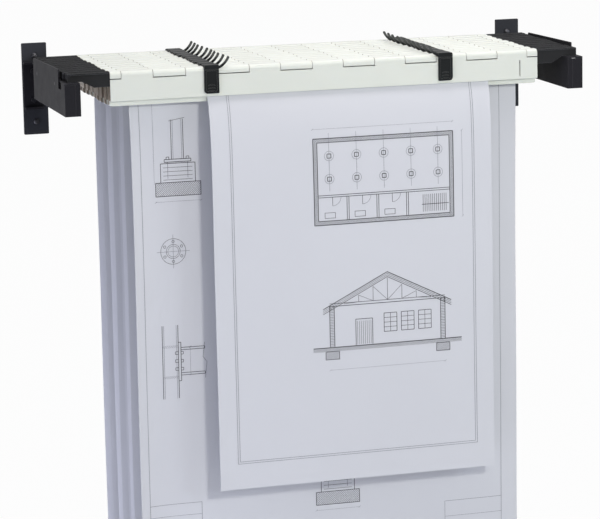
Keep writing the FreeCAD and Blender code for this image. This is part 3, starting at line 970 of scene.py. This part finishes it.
def ring_of(shape, radius, y):
    ring = []
    for index in range(SCREW_SIDES):
        angle = 2.0 * math.pi * index / SCREW_SIDES
        ring.append(shape.verts.new((radius * math.cos(angle), y, radius * math.sin(angle))))
    return ring


# Stage

def point_camera():
    data = bpy.data.cameras.new("camera")
    data.lens = CAMERA_LENS
    data.sensor_width = CAMERA_SENSOR
    data.clip_end = CAMERA_REACH
    camera = bpy.data.objects.new("camera", data)
    bpy.context.scene.collection.objects.link(camera)
    turn = Matrix.Rotation(math.radians(-CAMERA_HEADING), 4, "Z")
    lean = Matrix.Rotation(math.radians(90.0 + CAMERA_PITCH), 4, "X")
    roll = Matrix.Rotation(math.radians(CAMERA_ROLL), 4, "Z")
    camera.matrix_world = Matrix.Translation(CAMERA_PLACE) @ turn @ lean @ roll
    bpy.context.scene.camera = camera
    bpy.context.scene.view_settings.view_transform = "Standard"


def area_lamp(name, place, aim, size, power, colour):
    data = bpy.data.lights.new(name, "AREA")
    data.shape = "RECTANGLE"
    data.size, data.size_y = size
    data.energy = power
    data.color = colour
    lamp = bpy.data.objects.new(name, data)
    bpy.context.scene.collection.objects.link(lamp)
    lamp.location = place
    lamp.rotation_mode = "QUATERNION"
    lamp.rotation_quaternion = (aim - place).to_track_quat("-Z", "Y")


def light_room():
    """Soft cool light from all round, and plain white where the camera looks past the rack."""
    world = bpy.data.worlds.new("room")
    bpy.context.scene.world = world
    world.use_nodes = True
    room = Nodes(world.node_tree)
    direction = room.node("TexCoord", {}, {}, "Generated")
    behind = room.ramp(room.part_of(direction, "Y"), *ROOM_BEHIND)
    glow = room.node("Background", {}, {"Color": ROOM_COLOUR, "Strength": ROOM_LIGHT})
    white = room.node("Background", {}, {"Color": WHITE, "Strength": 1.0})
    shown = room.node("MixShader", {}, {0: room.seen_white(behind), 1: glow, 2: white})
    room.fill(world.node_tree.nodes["World Output"].inputs["Surface"], shown)


def pale_floor():
    """Matt and pale, shown nearly white and still shadowed."""
    finish = Finish("floor_pale", Roughness=0.9, Base_Color=FLOOR_TONE)
    place = finish.node("NewGeometry", {}, {}, "Position")
    behind = finish.ramp(finish.part_of(place, "Y"), *FLOOR_BEHIND)
    white = finish.node("Emission", {}, {"Color": WHITE, "Strength": 1.0})
    share = finish.seen_white(behind) * FLOOR_WHITE
    matt = Value(finish, finish.shader.outputs[0])
    shown = finish.node("MixShader", {}, {0: share, 1: matt, 2: white})
    finish.fill(finish.tree.nodes["Material Output"].inputs["Surface"], shown)
    return finish.material


def lay_floor():
    """A floor well below the sheets."""
    shape = bmesh.new()
    low, high = about(0.0, FLOOR_SIZE / 2.0)
    corners = ((low, low), (high, low), (high, high), (low, high))
    shape.faces.new([shape.verts.new((x, y, FLOOR_LEVEL)) for x, y in corners])
    floor = new_object("floor", shape, pale_floor())


# The sets of sheets

def hang_sets():
    """Each binder's set, slightly out of line with the others."""
    for index, to_right in enumerate(OUT_OF_LINE):
        body = "binder_%02d" % (index + 1)
        hang_set(index, to_right * MM, body, body + "_sheets")


def varied(middle, spread, phase):
    return middle + spread * math.sin(phase)


def way_to_hang(index, order):
    """The front set swells well out in front; the others hang nearly straight. In every
    set the leaves further back swell a little less."""
    less = LESS_BEHIND * order
    curl = FOOT_CURL - less / 2.0
    if index == 0:
        return Hang(push=[swell - less for swell in FRONT_SWELL], drift=1.0 * MM, curl=curl,
                    tilt=0.10, margins=(3.0, -4.0), waver=0.6 * MM)
    phase = SET_TO_SET * index
    sides = (phase, phase + LEFT_TO_RIGHT)
    push = [varied(REAR_SWELL, SWELL_SPREAD, side) - less for side in sides]
    if index == 1:
        return Hang(push=push, drift=2.0 * MM, curl=curl,
                    tilt=-0.12, margins=(15.0, -9.0), waver=1.0 * MM)
    drift = varied(2.0 * MM, 1.5 * MM, 2.0 * phase)
    tilt = varied(0.0, 0.06, 1.3 * phase)
    left_margin = varied(-13.0, 11.0, 2.3 * phase)
    return Hang(push=push, drift=drift, curl=curl,
                tilt=tilt, margins=(left_margin, -9.0), waver=1.5 * MM)


def hang_set(index, to_right, body, node):
    """A few leaves close behind each other in place of the set's slab. The drawing is
    on the one in front."""
    low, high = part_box(node)
    gap = (SET_THICKNESS - LEAF_THICKNESS) / (LEAVES_PER_SET - 1)
    offset = Vector((to_right, 0.0, FRONT_SET_LIFT if index == 0 else 0.0))
    for order in range(LEAVES_PER_SET):
        name = "%s_leaf_%d" % (body, order + 1)
        face = high.y - SET_THICKNESS + order * gap
        leaf = Leaf(low + offset, high + offset, face, way_to_hang(index, order))
        piece = hang_leaf(name, leaf, body)
        if order == 0:
            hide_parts(node)
            draw_sheet(index, leaf, name, body)


def draw_sheet(index, leaf, name, body):
    plan = Plan(leaf)
    if index == 0:
        draw_front_sheet(plan)
    else:
        draw_large_sheet(plan)
    plan.finish(name + "_print", body)


coat_cad_nodes()
hang_sets()
put_wall_screws()
point_camera()
area_lamp("key_lamp", KEY_PLACE, KEY_AIM, KEY_SIZE, KEY_POWER, KEY_COLOUR)
area_lamp("top_lamp", TOP_PLACE, TOP_AIM, TOP_SIZE, TOP_POWER, TOP_COLOUR)
area_lamp("left_lamp", LEFT_PLACE, LEFT_AIM, LEFT_SIZE, LEFT_POWER, LEFT_COLOUR)
area_lamp("right_lamp", RIGHT_PLACE, RIGHT_AIM, RIGHT_SIZE, RIGHT_POWER, RIGHT_COLOUR)
light_room()
lay_floor()
